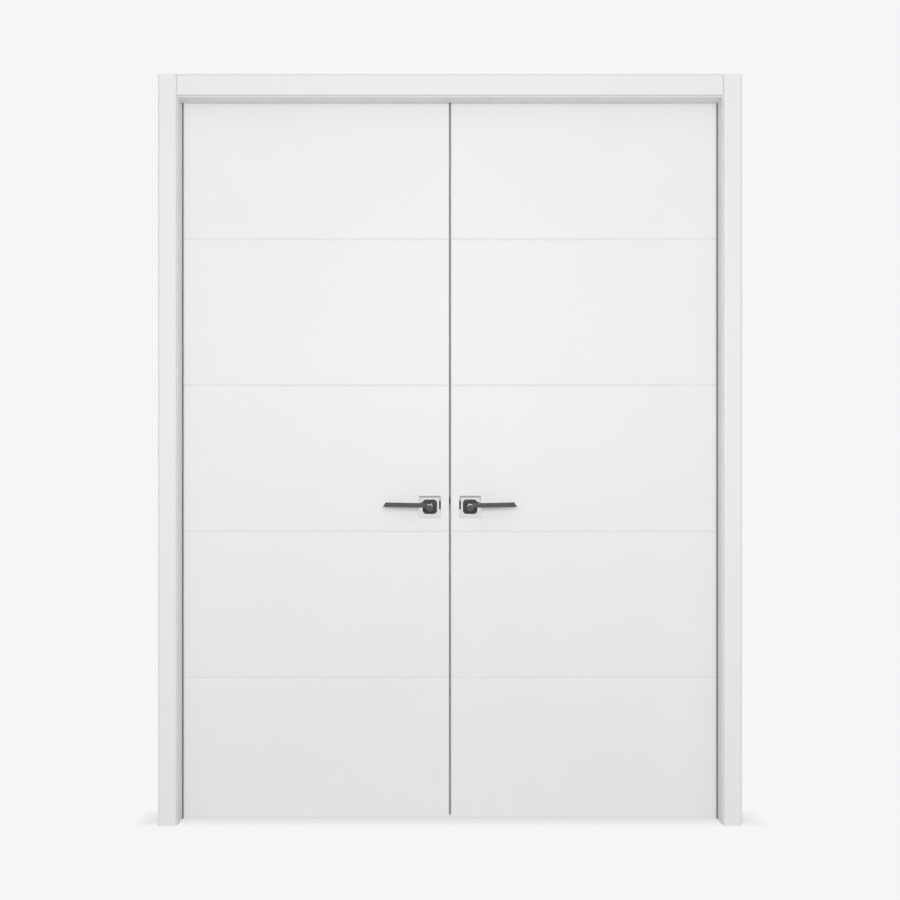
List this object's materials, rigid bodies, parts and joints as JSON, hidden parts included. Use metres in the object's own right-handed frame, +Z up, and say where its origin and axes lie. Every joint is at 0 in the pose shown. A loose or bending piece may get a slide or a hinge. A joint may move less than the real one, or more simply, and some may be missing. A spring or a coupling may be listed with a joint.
{
  "type": "double door with frame",
  "caption": "White flush double door in a rebated jamb with flat casings, grooved leaves, butt hinges, square-rose lever handles, a mortise latch and flush bolts.",
  "frame": {"origin": "on the floor, at the middle of the width and of the whole depth from the front casing to the back levers", "axes": "+X to the right seen from the push side, +Y through the doorway away from the push side, +Z up"},
  "size_m": [1.653, 0.186, 2.1045],
  "materials": {
    "white_lacquer": "satin white lacquer on board",
    "seal_rubber": "matt dark grey rubber",
    "meeting_rubber": "matt pale grey rubber",
    "lever_metal": "polished black nickel",
    "rose_chrome": "polished chrome",
    "collar_nylon": "moulded black nylon",
    "hardware_steel": "satin steel"
  },
  "bodies": {
    "frame": {"left_jamb": "white_lacquer", "right_jamb": "white_lacquer", "head_jamb": "white_lacquer", "left_front_casing": "white_lacquer", "right_front_casing": "white_lacquer", "head_front_casing": "white_lacquer", "left_back_casing": "white_lacquer", "right_back_casing": "white_lacquer", "head_back_casing": "white_lacquer", "left_seal": "seal_rubber", "right_seal": "seal_rubber", "head_seal": "seal_rubber", "corner_screws": "hardware_steel", "left_upper_hinge_frame_plate": "hardware_steel", "left_middle_hinge_frame_plate": "hardware_steel", "left_lower_hinge_frame_plate": "hardware_steel", "right_upper_hinge_frame_plate": "hardware_steel", "right_middle_hinge_frame_plate": "hardware_steel", "right_lower_hinge_frame_plate": "hardware_steel", "hinge_pins": "hardware_steel", "frame_screws": "hardware_steel", "bolt_keeper": "hardware_steel"},
    "left_leaf": {"left_leaf_slab": "white_lacquer", "left_leaf_screws": "hardware_steel", "left_upper_hinge_door_plate": "hardware_steel", "left_middle_hinge_door_plate": "hardware_steel", "left_lower_hinge_door_plate": "hardware_steel", "left_front_lever": "lever_metal", "left_front_rose": "rose_chrome", "left_front_collar": "collar_nylon", "left_back_lever": "lever_metal", "left_back_rose": "rose_chrome", "left_back_collar": "collar_nylon", "left_rose_plates": "hardware_steel", "left_rose_bolts": "hardware_steel", "strike_plate": "hardware_steel", "meeting_seal": "meeting_rubber", "flush_bolt_plates": "hardware_steel"},
    "right_leaf": {"right_leaf_slab": "white_lacquer", "right_leaf_screws": "hardware_steel", "right_upper_hinge_door_plate": "hardware_steel", "right_middle_hinge_door_plate": "hardware_steel", "right_lower_hinge_door_plate": "hardware_steel", "right_front_rose": "rose_chrome", "right_front_collar": "collar_nylon", "right_back_rose": "rose_chrome", "right_back_collar": "collar_nylon", "right_rose_plates": "hardware_steel", "right_rose_bolts": "hardware_steel", "latch_case": "hardware_steel", "latch_case_cover": "hardware_steel", "latch_faceplate": "hardware_steel", "latch_spring": "hardware_steel"},
    "lever": {"right_front_lever": "lever_metal", "right_back_lever": "lever_metal", "spindle": "hardware_steel", "latch_follower": "hardware_steel"},
    "latch_bolt": {"latch_bolt": "hardware_steel"},
    "top_bolt": {"top_bolt_rod": "hardware_steel"},
    "bottom_bolt": {"bottom_bolt_rod": "hardware_steel"}
  },
  "joints": [
    {"name": "left_leaf_swing", "type": "hinge", "parent": "frame", "child": "left_leaf", "pos_m": [-0.7685, 0.043, 1.021], "axis": [0, 0, 1], "range_deg": [0, 170]},
    {"name": "right_leaf_swing", "type": "hinge", "parent": "frame", "child": "right_leaf", "pos_m": [0.7685, 0.043, 1.021], "axis": [0, 0, -1], "range_deg": [0, 170]},
    {"name": "lever_turn", "type": "hinge", "parent": "right_leaf", "child": "lever", "pos_m": [0.057, 0.015, 0.885], "axis": [0, 1, 0], "range_deg": [0, 45], "stiffness_Nm_per_rad": 1, "springref_deg": -34.38},
    {"name": "latch_slide", "type": "slide", "parent": "right_leaf", "child": "latch_bolt", "axis": [1, 0, 0], "range_m": [0, 0.0121], "deforming": ["latch_spring"]},
    {"name": "top_bolt_slide", "type": "slide", "parent": "left_leaf", "child": "top_bolt", "axis": [0, 0, 1], "range_m": [0, 0.016]},
    {"name": "bottom_bolt_slide", "type": "slide", "parent": "left_leaf", "child": "bottom_bolt", "axis": [0, 0, -1], "range_m": [0, 0.016]}
  ],
  "couplings": [
    {"joint": "latch_slide", "follows": "lever_turn", "m_per_rad": 0.0153}
  ]
}
